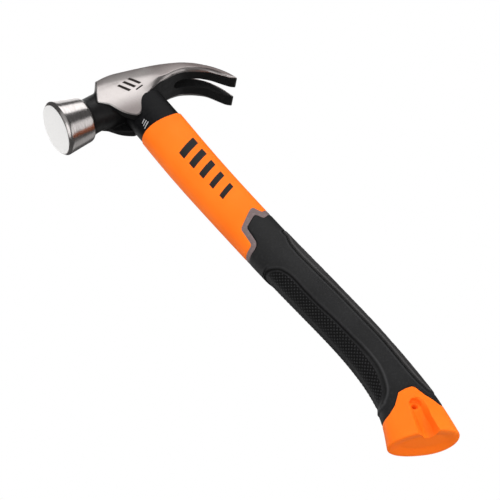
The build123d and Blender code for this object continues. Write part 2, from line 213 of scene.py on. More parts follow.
def prism(outline):
    """Side-view outline (x, z) pushed through the whole thickness."""
    half = 40.0
    x, z = np.asarray(outline, float).T
    if np.sum(x * np.roll(z, -1) - np.roll(x, -1) * z) < 0:
        x, z = x[::-1], z[::-1]
    n = len(x)
    verts = np.vstack([np.c_[x, np.full(n, -half), z], np.c_[x, np.full(n, half), z]])
    faces = [[k, (k + 1) % n, n + (k + 1) % n, n + k] for k in range(n)]
    faces.append(list(range(n))[::-1])
    faces.append([n + k for k in range(n)])
    return solid(verts, faces)


def circle(count):
    return np.linspace(0, 2 * math.pi, count, endpoint=False)


def cross_cone(centre, profile):
    """Round cutter along Y at (x, z), from (y, radius) pairs."""
    turn = circle(96)
    return tube([np.stack([centre[0] + radius * np.cos(turn), np.full(96, y),
                           centre[1] + radius * np.sin(turn)], -1) for y, radius in profile])


# The fast solver is used where this Blender build offers it.
SOLVER = "MANIFOLD"
try:
    bpy.types.BooleanModifier.bl_rna.properties["solver"].enum_items["MANIFOLD"]
except KeyError:
    SOLVER = "EXACT"


def boolean(target, cutter, operation, keep_cutter=False):
    modifier = target.modifiers.new("b", "BOOLEAN")
    modifier.operation = operation
    modifier.object = cutter
    modifier.solver = SOLVER
    graph = bpy.context.evaluated_depsgraph_get()
    mesh = bpy.data.meshes.new_from_object(target.evaluated_get(graph))
    old = target.data
    target.modifiers.clear()
    target.data = mesh
    bpy.data.meshes.remove(old)
    if not keep_cutter:
        cutter_mesh = cutter.data
        bpy.data.objects.remove(cutter)
        bpy.data.meshes.remove(cutter_mesh)


def tidy(ob):
    """Merge doubles, split many-sided faces and drop loose vertices after booleans."""
    bm = bmesh.new()
    bm.from_mesh(ob.data)
    bmesh.ops.remove_doubles(bm, verts=bm.verts, dist=2e-6)
    bmesh.ops.dissolve_degenerate(bm, edges=bm.edges, dist=1e-7)
    big = [face for face in bm.faces if len(face.verts) > 4]
    if big:
        bmesh.ops.triangulate(bm, faces=big)
    loose = [vert for vert in bm.verts if not vert.link_faces]
    if loose:
        bmesh.ops.delete(bm, geom=loose, context="VERTS")
    bm.to_mesh(ob.data)
    bm.free()


def table_xyz(ob):
    co = np.zeros(len(ob.data.vertices) * 3, np.float32)
    ob.data.vertices.foreach_get("co", co)
    return to_table(co.reshape(-1, 3)).T


def set_attribute(ob, name, values):
    layer = ob.data.attributes.new(name, "FLOAT", "POINT")
    layer.data.foreach_set("value", np.asarray(values, np.float32).reshape(-1))


# Marks are stored as a depth inside their outline, which the materials cut at 0.
NO_MARK = -5.0


def bar(across, along, half_across, half_along):
    return np.minimum(half_across - np.abs(across), half_along - np.abs(along))


def set_mark(ob, bars, shown):
    """Store the union of the bars on the vertices where shown is true."""
    depth = np.maximum(np.maximum.reduce(bars), NO_MARK)
    set_attribute(ob, "mark", np.where(shown, depth, NO_MARK))


# ------------------------------------------------------------------ handle surface
# height, centre x, half depth, half thickness, tilt, squareness of the rear (+X) half
STATIONS = np.array([
    (-30.0, -1.72, 15.55, 12.90, 0.000, 3.40), (-60.0, -2.34, 15.38, 12.90, 0.000, 3.40),
    (-90.0, -2.21, 15.02, 12.90, 0.000, 3.40), (-120.0, -1.37, 14.72, 12.90, 0.000, 3.40),
    (-150.0, -0.22, 14.42, 12.90, 0.000, 3.40), (-180.0, 1.55, 14.27, 12.90, 0.000, 3.40),
    (-210.0, 3.38, 13.85, 12.90, 0.000, 3.40), (-235.0, 4.40, 13.75, 12.80, -0.020, 3.40),
    (-256.0, 3.88, 14.32, 12.70, -0.080, 3.40), (-272.0, 2.53, 15.70, 12.80, -0.170, 2.96),
    (-287.0, -0.14, 17.91, 13.10, -0.244, 2.53), (-306.2, -6.22, 21.58, 13.82, -0.404, 2.10)])
FRONT_SQUARENESS, REAR_SQUARENESS = 2.15, 3.4   # superellipse exponents of a section


def natural_spline(values):
    """Natural cubic through values at 0, 1, 2 and so on."""
    n = len(values)
    system = np.zeros((n, n))
    right = np.zeros(n)
    system[0, 0] = system[-1, -1] = 1
    for j in range(1, n - 1):
        system[j, j - 1], system[j, j], system[j, j + 1] = 1, 4, 1
        right[j] = 6 * (values[j + 1] - 2 * values[j] + values[j - 1])
    bend = np.linalg.solve(system, right)

    def evaluate(k):
        j = np.clip(np.floor(k).astype(int), 0, n - 2)
        t = k - j
        return ((bend[j] * (1 - t) ** 3 + bend[j + 1] * t ** 3) / 6
                + (values[j] - bend[j] / 6) * (1 - t)
                + (values[j + 1] - bend[j + 1] / 6) * t)
    return evaluate


centre_z, centre_x, half_depth, half_thickness, tilt = [
    natural_spline(STATIONS[:, c]) for c in range(5)]

# fine samples of the handle's centre line: station number, height, length along the line
FINE_K = np.linspace(0, len(STATIONS) - 1, 6000)
FINE_Z = centre_z(FINE_K)
FINE_ARC = np.r_[0, np.cumsum(np.hypot(np.diff(centre_x(FINE_K)), np.diff(FINE_Z)))]


def station_at_arc(arc):
    return np.interp(arc, FINE_ARC, FINE_K)


def arc_at_z(z):
    return np.interp(np.interp(-z, -FINE_Z, FINE_K), FINE_K, FINE_ARC)


def superellipse_reach(half, front):
    """The front (-X) half reaches 1.2 and the rear half 0.8 of the half depth."""
    return np.where(front, half * 1.2, half * 0.8)


def section(half_x, half_y, angle, rear=REAR_SQUARENESS):
    c, s = np.cos(angle), np.sin(angle)
    power = np.where(c < 0, FRONT_SQUARENESS, rear)
    return (np.sign(c) * np.abs(c) ** (2 / power) * superellipse_reach(half_x, c < 0)
            + 0.2 * half_x,
            np.sign(s) * np.abs(s) ** (2 / power) * half_y)


# girth of a typical section, measured from the spine that faces the striking face's side
FINE_ANGLE = np.linspace(math.pi, 3 * math.pi, 8001)
_x, _y = section(15.0, 12.9, FINE_ANGLE)
FINE_GIRTH = np.r_[0, np.cumsum(np.hypot(np.diff(_x), np.diff(_y)))]
GIRTH = FINE_GIRTH[-1]


def around(count):
    """Angles at equal steps round the section, and their signed distance from the spine."""
    length = np.arange(count) / count * GIRTH
    angle = np.interp(length, FINE_GIRTH, FINE_ANGLE)
    return angle, np.where(length > GIRTH / 2, length - GIRTH, length)


def handle_rings(stations, inset, angle):
    """Points (rings, points, 3) of the handle surface, each ring drawn in by its inset."""
    k = stations[:, None]
    inset = np.atleast_1d(inset)[:, None]
    rear = np.interp(k, np.arange(len(STATIONS)), STATIONS[:, 5])
    x, y = section(half_depth(k) - inset, half_thickness(k) - inset, angle[None, :], rear)
    lean = tilt(k)
    return np.stack([centre_x(k) + x * np.cos(lean), y, centre_z(k) + x * np.sin(lean)], -1)


def sleeve(z_top, z_base, step, count, inset=0.0):
    """Rings of the handle between two heights, with arc length and spine distance."""
    angle, from_spine = around(count)
    arc = np.arange(arc_at_z(z_top), arc_at_z(z_base), step)
    points = handle_rings(station_at_arc(arc), inset, angle)
    return points, arc[:, None], from_spine[None, :]


def core(inset, z_top, z_base):
    """Plain body of the handle, a given depth below its surface."""
    return tube(sleeve(z_top, z_base, step=1.5, count=160, inset=inset)[0])


def displace(points, normal, amount):
    return points + normal * amount[..., None]


def surface_normals(points):
    down = np.gradient(points, axis=0)
    sideways = np.roll(points, -1, 1) - np.roll(points, 1, 1)
    normal = np.cross(down, sideways)
    normal /= np.linalg.norm(normal, axis=2)[..., None] + 1e-12
    outward = ((points - points.mean(1, keepdims=True)) * normal).sum()
    return -normal if outward < 0 else normal


# Side-view lines (x, z) between the coloured zones, from the rear (+X) to the face side,
# except the strip and panel lines, which run downward.
BAND_TOP = clip_corners([
    (30, -129.1), (10.2, -129.1), (7.4, -130.2), (5.6, -127.7), (4.2, -124.5),
    (1.9, -124.7), (-10.8, -133.2), (-11.5, -145.3), (-12.6, -146.5), (-30, -147.1)])
BAND_LOW = clip_corners([
    (30, -133.2), (10.0, -133.2), (6.3, -134.8), (4.6, -134.4), (2.2, -130.3),
    (0.7, -130.2), (-8.0, -135.0), (-8.9, -146.6), (-10.7, -149.4), (-30, -151.8)])
BUTT_LINE = np.array([
    (30, -297.0), (12.1, -295.0), (10.4, -291.8), (7.6, -286.1), (6.0, -279.4),
    (4.7, -277.9), (0.3, -277.0), (-4.0, -276.7), (-5.9, -278.3),
    (-10.3, -281.8), (-14.8, -283.6), (-35, -285.0)])
STRIP_LINE = catmull([
    (35, -147.4), (10.9, -148.2), (9.2, -153.3), (7.1, -159.2), (6.8, -162.4),
    (6.7, -169.8), (7.3, -179.0), (8.0, -188.0), (8.8, -197.0), (9.5, -205.7),
    (9.9, -214.9), (11.0, -237.1), (11.2, -246.1), (10.9, -255.7),
    (10.5, -265.2), (10.4, -274.3), (11.1, -280.5), (14.1, -286.5), (35, -289.5)], 3)
PANEL_LINE = catmull([
    (-35, -162.8), (-14.3, -163.2), (-13.5, -164.2), (-11.6, -166.5),
    (-8.5, -170.5), (-6.8, -175.3), (-5.9, -180.9), (-5.5, -191.4), (-4.6, -205.0),
    (-3.2, -217.1), (-2.4, -230.6), (-1.8, -239.2), (-1.7, -248.3),
    (-2.4, -256.6), (-4.2, -263.3), (-7.2, -270.1), (-10.0, -273.4),
    (-12.8, -275.2), (-15.0, -275.9), (-35, -276.0)], 3)
SKIN_DEPTH = 2.6                    # of the band and grip over the jacket's core
STRIP_DEPTH, STRIP_PROUD = 1.4, 0.35
COLLAR_X = -1.9                     # centre of the collar and of its pocket in the head

# rod room: a slot-shaped bore between these points (x, z)
ROD_HALF_X, ROD_HALF_Y = 7.5, 5.0
ROD_TOP, ROD_FOOT = (-1.0, 15.2), (3.0, -279.0)


def rod_room(z_top):
    """Slot-section cutter along the rod, from a height down to its foot."""
    share = (ROD_TOP[1] - z_top) / (ROD_TOP[1] - ROD_FOOT[1])
    top = (ROD_TOP[0] + (ROD_FOOT[0] - ROD_TOP[0]) * share, z_top)
    turn = circle(64)
    x = np.cos(turn) * ROD_HALF_Y + np.sign(np.cos(turn)) * (ROD_HALF_X - ROD_HALF_Y)
    y = np.sin(turn) * ROD_HALF_Y
    return tube([np.stack([cx + x, y, np.full_like(x, cz)], -1) for cx, cz in (top, ROD_FOOT)])


# ------------------------------------------------------------------ scoop in the butt
# The scoop lies in the near (-Y) side: z, x of left edge, left of floor, right of floor,
# right edge, floor y
SCOOP = np.array([
    (-284.3, -1.6, -0.9, 0.9, 1.6, -12.9), (-286.0, -4.6, -2.8, 1.9, 3.4, -11.7),
    (-288.5, -6.4, -3.6, 1.8, 3.9, -10.7), (-293.0, -8.3, -3.9, 1.0, 3.0, -9.0),
    (-298.0, -10.6, -4.7, 0.0, 1.2, -7.1), (-303.0, -12.7, -5.5, -0.6, 0.1, -5.2),
    (-308.0, -14.8, -6.2, -1.2, -0.9, -3.4), (-316.0, -18.2, -7.4, -2.2, -2.5, -0.5)])
SCOOP_FLANK_Y = -13.2    # where the table's edges are taken
SCOOP_LIP_Y = -13.4      # where the soft lip follows the edges
SCOOP_OUTER_Y = -22.0    # top of the cutter, clear of the handle
# scoop wall, from its foot: share of the way to the edge, share of the rise
SCOOP_WALL = [(0.0, 0.0), (0.10, 0.05), (0.22, 0.16), (0.36, 0.33), (0.5, 0.5),
              (0.75, 0.75), (0.92, 0.90), (1.04, 1.0), (1.2, 1.08)]


def scoop_lip_line():
    """Side-view line of the scoop's edges, up the left one and down the right one."""
    z, left_edge, left_foot, right_foot, right_edge, floor_y = SCOOP.T
    out = (SCOOP_LIP_Y - floor_y) / (SCOOP_FLANK_Y - floor_y)
    left = left_foot + (left_edge - left_foot) * out
    right = right_foot + (right_edge - right_foot) * out
    return np.vstack([np.stack([left, z], -1)[::-1], np.stack([right, z], -1)])


def scoop_cutter():
    """Floor curling under to the right, sloping left wall, steep right wall, round feet."""
    heights = np.concatenate([np.linspace(-284.05, -288.5, 16), np.arange(-289.0, -316.0, -1.0)])
    rows = []
    for z in heights:
        left_edge, left_foot, right_foot, right_edge, floor_y = [
            np.interp(-z, -SCOOP[:, 0], SCOOP[:, c]) for c in range(1, 6)]
        rise = SCOOP_FLANK_Y - floor_y
        top = (SCOOP_OUTER_Y - floor_y) / rise
        wall = [(f, floor_y + rise * lift) for f, lift in SCOOP_WALL + [(top * 1.04, top)]]
        curl = 2.6 * float(smoothstep(-291.0, -304.0, z))
        left = [(left_foot + (left_edge - left_foot) * f, y) for f, y in wall][::-1]
        bottom = [(left_foot + (right_foot - left_foot) * f,
                   floor_y - curl * (max(f - 0.40, 0.0) / 0.60) ** 2)
                  for f in (0.2, 0.4, 0.55, 0.68, 0.8, 0.9, 0.97)]
        right = [(right_foot + (right_edge - right_foot) * f, min(y, floor_y - curl))
                 for f, y in wall]
        outline = np.array(left + bottom + right)
        rows.append(np.c_[outline, np.full(len(outline), z)])
    return tube(rows)


# ------------------------------------------------------------------ jacket (orange)
JACKET_TOP = -32.4
TOP_ROUND, BASE_ROUND = 0.5, 1.1
HOLE = (-1.0, -288.0)          # (x, z) of the cross hole in the butt
HOLE_R, BOSS_R = 1.45, 3.6     # the hole, and the recess round each mouth


def jacket_stack(step):
    """Arc lengths and insets of the jacket's rings: top rim, body, base rim, base dish."""
    top, base = arc_at_z(JACKET_TOP), FINE_ARC[-1]
    rim = np.linspace(math.pi / 2, 0, 6)[:-1]
    rim_arc = top + TOP_ROUND * (1 - np.cos(rim))
    rim_arc[0] = top           # the first ring closes the end
    body = np.arange(top + TOP_ROUND, base - BASE_ROUND, step)
    foot = np.linspace(0, math.pi / 2, 11)
    dish = np.linspace(1.5, 12.6, 23)
    arc = np.concatenate([rim_arc, body, base - BASE_ROUND * (1 - np.sin(foot)),
                          base - 1.25 * smoothstep(1.4, 8.5, dish)])
    inset = np.concatenate([TOP_ROUND * np.sin(rim), np.zeros_like(body),
                            BASE_ROUND * (1 - np.cos(foot)), dish])
    return arc, inset


def build_jacket():
    angle, _ = around(216)
    arc, inset = jacket_stack(0.45)
    points = handle_rings(station_at_arc(arc), inset, angle)
    normal = surface_normals(points)
    flank = (inset < 0.01)[:, None]
    x, _, z = np.moveaxis(points, -1, 0)
    # edges next to the other colours are rounded; a shallow swell keeps the flanks from
    # being dead flat
    seam = np.minimum(line_distance(x, z, BAND_TOP), line_distance(x, z, BUTT_LINE))
    shift = -0.30 * hump(seam, 0.5) + 0.04 * np.sin(arc[:, None] * 0.045 + 0.7)
    points = displace(points, normal, shift * flank)
    # soft lip along the edges of the scoop
    x, y, z = np.moveaxis(points, -1, 0)
    lip = 0.20 * hump(line_distance(x, z, scoop_lip_line()) - 0.2, 1.3)
    near = (y < -6) * (z < -280) * smoothstep(-300.0, -296.0, z)
    points = displace(points, normal, lip * near * flank)

    ob = tube(points)
    boolean(ob, prism(np.vstack([BAND_TOP, BUTT_LINE[::-1]])), "DIFFERENCE")
    boolean(ob, core(SKIN_DEPTH, -105.0, -300.0), "UNION")
    boolean(ob, scoop_cutter(), "DIFFERENCE")
    # recesses round the near and far mouths of the hole, then the hole with softened edges
    for profile in (
            [(-30.0, BOSS_R + 0.3), (-11.0, BOSS_R + 0.2), (-10.2, BOSS_R), (-9.9, BOSS_R - 0.35)],
            [(11.6, BOSS_R - 0.35), (11.9, BOSS_R), (30.0, BOSS_R + 0.2)],
            [(-30.0, 2.15), (-9.85, 2.15), (-9.5, 1.75), (-9.1, HOLE_R),
             (10.8, HOLE_R), (11.3, 1.8), (11.7, 2.2), (30.0, 2.2)]):
        boolean(ob, cross_cone(HOLE, profile), "DIFFERENCE")
    boolean(ob, rod_room(-20.0), "DIFFERENCE")
    tidy(ob)

    # five leaning black bars that shrink down the handle, on both flanks
    x, y, z = table_xyz(ob)
    bars = []
    for i in range(5):
        across = z - (-62.5 - 10.6 * i) - 0.42 * (x + 2.4)
        bars.append(bar(across, x + 2.4, half_across=3.0 - 0.25 * i, half_along=7.4 - 0.45 * i))
    set_mark(ob, bars, np.abs(y) > 6)
    return ob


# ------------------------------------------------------------------ accent band
def build_band():
    points, _, _ = sleeve(-121.0, -156.0, 0.35, 280)
    x, _, z = np.moveaxis(points, -1, 0)
    seam = np.minimum(line_distance(x, z, BAND_TOP), line_distance(x, z, BAND_LOW))
    ob = tube(displace(points, surface_normals(points), -0.06 - 0.26 * hump(seam, 0.45)))
    boolean(ob, prism(np.vstack([BAND_TOP, BAND_LOW[::-1]])), "INTERSECT")
    boolean(ob, core(SKIN_DEPTH, -100.0, -180.0), "DIFFERENCE")
    tidy(ob)
    return ob


# ------------------------------------------------------------------ grip
PAD_PITCH = 1.94


def build_grip():
    points, arc, from_spine = sleeve(-128.0, -299.0, 0.27,
                                     336)
    x, _, z = np.moveaxis(points, -1, 0)
    # the pattern spreads with the depth of the handle
    side = from_spine * (half_depth(station_at_arc(arc)) / 15.0) ** 0.5
    seam = np.minimum(line_distance(x, z, BAND_LOW), line_distance(x, z, BUTT_LINE))
    strip_gap = line_distance(x, z, STRIP_LINE)
    panel = outline_distance(x, z, PANEL_LINE)
    shift = 0.04 - 0.36 * hump(seam, 0.6) - 0.45 * hump(strip_gap, 0.45)
    # sunk panel on the face side, with a wall and a raised edge that grow towards the butt
    low = smoothstep(-225.0, -262.0, z)
    wall = 1.0 + 0.9 * low
    shift -= 0.78 * smoothstep(0.0, 1.0, -panel / wall)
    shift += (0.10 + 0.30 * low) * hump(panel - 0.9, 0.8)
    # raised pads set cornerwise to the handle, faint along the spine
    pad = 1.0
    for diagonal in (arc + side, arc - side):
        wave = 0.5 + 0.5 * np.cos(2 * math.pi * (diagonal / math.sqrt(2) / PAD_PITCH))
        pad = pad * smoothstep(0.22, 0.72, wave)
    off_spine = np.abs(side)
    inside = smoothstep(wall + 0.25, wall + 0.85, -panel) * smoothstep(0.9, 1.5, off_spine)
    shift += 0.34 * pad * inside * (0.12 + 0.88 * smoothstep(2.0, 8.0, off_spine))
    # faint moulded waviness
    shift += 0.05 * (value_noise(arc / 9.0, side / 7.0, seed=3) - 0.5)
    ob = tube(displace(points, surface_normals(points), shift))

    # painted shade and highlight: how deep in a groove each point lies, where the rubber is
    # coloured darker, and how much on a raised edge or pad top, where it is coloured lighter
    groove_shade = np.maximum.reduce([
        hump(strip_gap, 0.75), 0.75 * hump(seam, 0.6),
        (0.85 - 0.35 * low) * hump(panel + 0.35, 0.55), (1 - pad) * inside])
    ridge = np.maximum.reduce([
        0.55 * hump(strip_gap - 1.7, 0.45),
        (0.25 + 0.75 * low) * hump(panel - 1.0, 0.55), 0.30 * pad * inside])
    set_attribute(ob, "groove_shade", groove_shade)
    set_attribute(ob, "ridge", ridge)

    boolean(ob, prism(np.vstack([BAND_LOW, BUTT_LINE[::-1]])), "INTERSECT")
    strip_seat = prism(STRIP_LINE)
    boolean(strip_seat, core(STRIP_DEPTH, -120.0, -302.0), "DIFFERENCE")
    boolean(ob, strip_seat, "DIFFERENCE")
    boolean(ob, core(SKIN_DEPTH, -110.0, -303.0), "DIFFERENCE")
    tidy(ob)
    return ob


# ------------------------------------------------------------------ palm strip
def build_strip():
    points, arc, side = sleeve(-140.0, -296.0, 0.33, 300)
    x, _, z = np.moveaxis(points, -1, 0)
    edge = line_distance(x, z, STRIP_LINE)
    shift = STRIP_PROUD - (STRIP_PROUD + 0.25) * hump(edge, 0.6)
    rough = ((value_noise(arc / 0.9, side / 0.9, seed=5) - 0.5) * 0.16
             + (value_noise(arc / 2.1, side / 1.4, seed=8) - 0.5) * 0.14)
    shift += rough * smoothstep(0.6, 1.6, edge)
    shift = np.minimum(shift, STRIP_PROUD + 0.05)
    ob = tube(displace(points, surface_normals(points), shift))
    # painted shade along the groove beside the strip, and a painted highlight just beyond it that
    # grows lighter away from the groove
    set_attribute(ob, "groove_shade", hump(edge, 0.7))
    set_attribute(ob, "ridge", 0.8 * hump(edge - 1.5, 0.5) + 0.35 * smoothstep(2.5, 6.0, edge))
    boolean(ob, prism(STRIP_LINE), "INTERSECT")
    boolean(ob, core(STRIP_DEPTH, -120.0, -302.0), "DIFFERENCE")
    tidy(ob)
    return ob


# ------------------------------------------------------------------ hammer head tables
# Side-view outline (x, z) in three runs: over the top, back along the underside, up the front.
TOP_EDGE = catmull([
    (-24.4, 15.6), (-23.4, 16.9), (-15.4, 18.6), (-9.5, 18.8), (-3.5, 18.2), (6.8, 17.0),
    (13.4, 16.0), (19.8, 14.7), (26.1, 12.9), (32.1, 10.6), (37.2, 8.5), (42.1, 5.9),
    (47.2, 2.4), (51.8, -1.8), (55.5, -5.7), (58.7, -10.1), (61.4, -14.7), (63.3, -19.3),
    (64.5, -22.3)], 6)
UNDERSIDE = catmull([
    (64.4, -22.8), (60.9, -20.2), (58.4, -16.9), (56.2, -14.0), (54.0, -10.9), (51.3, -7.6),
    (47.3, -4.6), (42.8, -2.1), (36.5, 0.3), (29.4, 0.7), (24.6, 0.0), (20.2, -0.6),
    (16.1, -1.1), (10.9, -3.1), (4.5, -6.2), (0.4, -9.2), (-3.1, -11.9), (-6.3, -14.7),
    (-8.9, -17.7), (-11.0, -19.9)], 6)
FRONT = catmull([
    (-11.0, -19.9), (-13.8, -20.4), (-15.6, -19.7), (-18.3, -17.8), (-20.7, -15.6),
    (-22.8, -12.8), (-24.7, -9.5), (-26.5, -6.4), (-29.1, -4.3), (-31.8, -2.2), (-32.9, -0.5),
    (-31.3, 3.0), (-28.1, 8.9), (-24.4, 15.6)], 6)
# hollow between the langets: x, half width
HOLLOW = np.array([(-30.0, 9.4), (-26.5, 9.3), (-24.0, 8.5), (-20.5, 6.5), (-13.5, 4.6),
                   (-8.0, 4.4)])
# line (x, z) on the cheeks and claws above which the sides lean in to the top edge
RIDGE = np.array([(-34, 12.0), (-24, 11.4), (-8.7, 9.0), (3.9, 6.4), (13.8, 4.6), (25.8, 4.2),
                  (36.8, 3.0), (46.5, -1.0), (54.9, -8.0), (61, -15.0), (66, -22.0)])
# claw sides: x, height of the ridge over the underside, half thickness at the lower edge
LEAN = np.array([
    (-4.0, 3.0, 12.6), (0.3, 4.5, 12.1), (4.6, 5.0, 11.7), (10.6, 4.0, 11.3), (16.0, 2.8, 11.0),
    (22.0, 1.8, 10.7), (27.0, 1.4, 10.6), (47.0, 1.3, 10.5), (50.0, 1.3, 11.0), (53.0, 1.5, 11.5),
    (55.5, 2.0, 12.0), (58.0, 2.5, 12.5), (61.0, 2.6, 12.9), (66.0, 2.6, 13.25)])
# nail slot: x, underside z, top z, half width at the underside, half width at the top
NAIL_SLOT = np.array([
    (29.6, 0.6, 11.4, -0.5, -0.3), (30.0, 0.6, 11.3, 0.3, 0.0), (30.6, 0.6, 11.1, 1.8, 0.15),
    (31.5, 0.6, 10.7, 2.7, 0.3), (33.0, 0.6, 10.2, 3.4, 0.45), (36.0, 0.3, 9.0, 3.9, 0.65),
    (40.0, -1.0, 7.0, 4.0, 0.75), (47.0, -4.4, 2.6, 4.0, 0.9), (54.0, -10.9, -4.1, 4.0, 1.3),
    (58.5, -17.0, -9.8, 4.0, 2.2), (62.0, -21.2, -16.0, 4.05, 3.2), (65.0, -24.5, -22.5, 4.2, 4.1),
    (72.0, -34.0, -33.0, 4.6, 4.6)])
SLOT_START = 29.6
# neck behind the bell: x, radius
NECK = np.array([(-46, 13.6), (-41.6, 13.6), (-41.0, 13.2), (-40.2, 12.75), (-39.0, 12.45),
                 (-36.5, 12.2), (-33.0, 12.15), (-29.0, 12.4), (-24.0, 12.9), (-18.0, 12.9)])
# neck: x, z of its centre
NECK_CENTRE = np.array([(-46, 0), (-41.0, 0), (-39.0, 0.3), (-35.0, 1.1), (-32.0, 1.6),
                        (-29.0, 1.7), (-24.0, 1.9)])
# eye: z, half length in x, half width in y
EYE = np.array([(-9.0, 10.6, 7.2), (3.0, 9.4, 6.4), (20.0, 11.4, 7.8)])
EYE_X = -1.0
# bell, turned about the X axis: x, radius; a straight taper joins the two parts
BELL_FACE = [(-62.80, 4.0), (-62.80, 8.0), (-62.80, 12.0), (-62.80, 15.6), (-62.79, 16.3),
             (-62.72, 16.62), (-62.55, 16.85), (-62.2, 17.2), (-61.7, 17.65), (-61.35, 17.95),
             (-61.05, 18.15), (-60.7, 18.27), (-60.2, 18.28)]
BELL_BACK = [(-42.6, 15.25), (-42.2, 15.08), (-41.9, 14.85), (-41.7, 14.5), (-41.62, 14.1),
             (-41.6, 13.7), (-41.6, 12.0)]

# ------------------------------------------------------------------ head distance maps
MAP_STEP = 0.2
MAP_AXIS_X = np.arange(-50.0, 70.01, MAP_STEP)
MAP_AXIS_Z = np.arange(-32.0, 26.01, MAP_STEP)
MAP_X, MAP_Z = np.meshgrid(MAP_AXIS_X, MAP_AXIS_Z, indexing="ij")
TO_OUTLINE = outline_distance(MAP_X, MAP_Z, np.vstack([TOP_EDGE, UNDERSIDE, FRONT[1:-1]]))
TO_TOP = line_distance(MAP_X, MAP_Z, TOP_EDGE)
TO_UNDER = line_distance(MAP_X, MAP_Z, UNDERSIDE)


def thickness_map():
    """Half thickness of the forging over the side view."""
    lean_in = np.interp(MAP_X, [10.0, 30.0, 58.0], [0.15, 0.10, 0.04])
    half = 13.22 - lean_in * softplus(MAP_Z - column(RIDGE, MAP_X), 1.2)
    half = half - 0.30 * hump(MAP_X - 22.0, 12.0) * smoothstep(-8.0, 6.0, MAP_Z)
    # below the bell axis the cheeks lean in to the edge of the langets
    half = half - 0.176 * softplus(-2.0 - MAP_Z, 0.9) * (1 - smoothstep(6.0, 16.0, MAP_X))
    # the lower strip of the claw sides leans in to the underside
    rise, low = column(LEAN, MAP_X), column(LEAN, MAP_X, 2)
    height = np.where(TO_OUTLINE < 0, TO_UNDER, -TO_UNDER)
    blend = np.interp(MAP_X, [6.0, 12.0, 19.0], [1.7, 1.2, 0.2])
    return half - (np.maximum(half - low, 0) * softplus(rise - height, blend) / rise
                   * smoothstep(-8.0, 4.0, MAP_X))


HALF_THICK = thickness_map()
_slope_x, _slope_z = np.gradient(HALF_THICK, MAP_STEP)
SIDE_STRETCH = np.minimum(np.sqrt(1 + _slope_x ** 2 + _slope_z ** 2), 3.0)


def lookup(field, x, z):
    """Bilinear sample of a side-view map."""
    i = np.clip((x - MAP_AXIS_X[0]) / MAP_STEP, 0, len(MAP_AXIS_X) - 1.001)
    j = np.clip((z - MAP_AXIS_Z[0]) / MAP_STEP, 0, len(MAP_AXIS_Z) - 1.001)
    i0, j0 = i.astype(int), j.astype(int)
    a, b = i - i0, j - j0
    return ((field[i0, j0] * (1 - a) + field[i0 + 1, j0] * a) * (1 - b)
            + (field[i0, j0 + 1] * (1 - a) + field[i0 + 1, j0 + 1] * a) * b)


def parabola(table, at, index):
    """Column of a three-row table, as the parabola through its rows."""
    total = 0.0
    for row in table:
        weight = 1.0
        for other in table:
            if other[0] != row[0]:
                weight = weight * (at - other[0]) / (row[0] - other[0])
        total = total + row[index] * weight
    return total


def collar_pocket(x, y, half_x, half_y):
    """Distance to the pocket the collar fills, shaped like a handle section."""
    x = x - COLLAR_X - 0.2 * half_x
    power = np.where(x < 0, FRONT_SQUARENESS, REAR_SQUARENESS)
    reach = superellipse_reach(half_x, x < 0)
    return ((np.abs(x / reach) ** power + np.abs(y / half_y) ** power) ** (1 / power) - 1) * half_y


def head_distance(points):
    """Signed distance to the forging without its bell, negative inside."""
    x, y, z = points.T
    off = np.abs(y)
    # body: the side view swept through its thickness, edges rounded
    rounding = np.interp(x, [-20, 30, 60, 65], [0.6, 0.6, 0.45, 0.35])
    a = lookup(TO_OUTLINE, x, z) + rounding
    b = (off - lookup(HALF_THICK, x, z)) / lookup(SIDE_STRETCH, x, z) + rounding
    body = (np.minimum(np.maximum(a, b), 0) + np.hypot(np.maximum(a, 0), np.maximum(b, 0))
            - rounding)
    hollow = np.maximum(np.maximum(off - column(HOLLOW, x), z + 8.5), x + 8.0)
    body = smooth_max(body, -hollow, 0.8)
    radius = np.hypot(y, z - column(NECK_CENTRE, x))
    neck = np.maximum(np.maximum(radius - column(NECK, x), x + 13.0), -44.0 - x)
    shape = smooth_min(body, neck, 0.9 + 1.6 * smoothstep(2.0, 9.0, z))
    under_z, top_z, under_half, top_half = [column(NAIL_SLOT, x, c) for c in range(1, 5)]
    t = np.clip((z - under_z) / (top_z - under_z), -0.4, 1.4)
    slot = np.where(x < SLOT_START, np.hypot(SLOT_START - x, 0.5 + off),
                    off - (under_half * (1 - t) + top_half * t))
    shape = smooth_max(shape, -slot, 0.35)
    pocket = np.maximum(collar_pocket(x, y, 14.4, 9.4), z + 7.0)
    shape = smooth_max(shape, -pocket, 0.35)
    half_x, half_y = parabola(EYE, z, 1), parabola(EYE, z, 2)
    eye = (np.sqrt(((x - EYE_X) / half_x) ** 2 + (y / half_y) ** 2) - 1) * half_y
    return smooth_max(shape, -eye, 0.7)


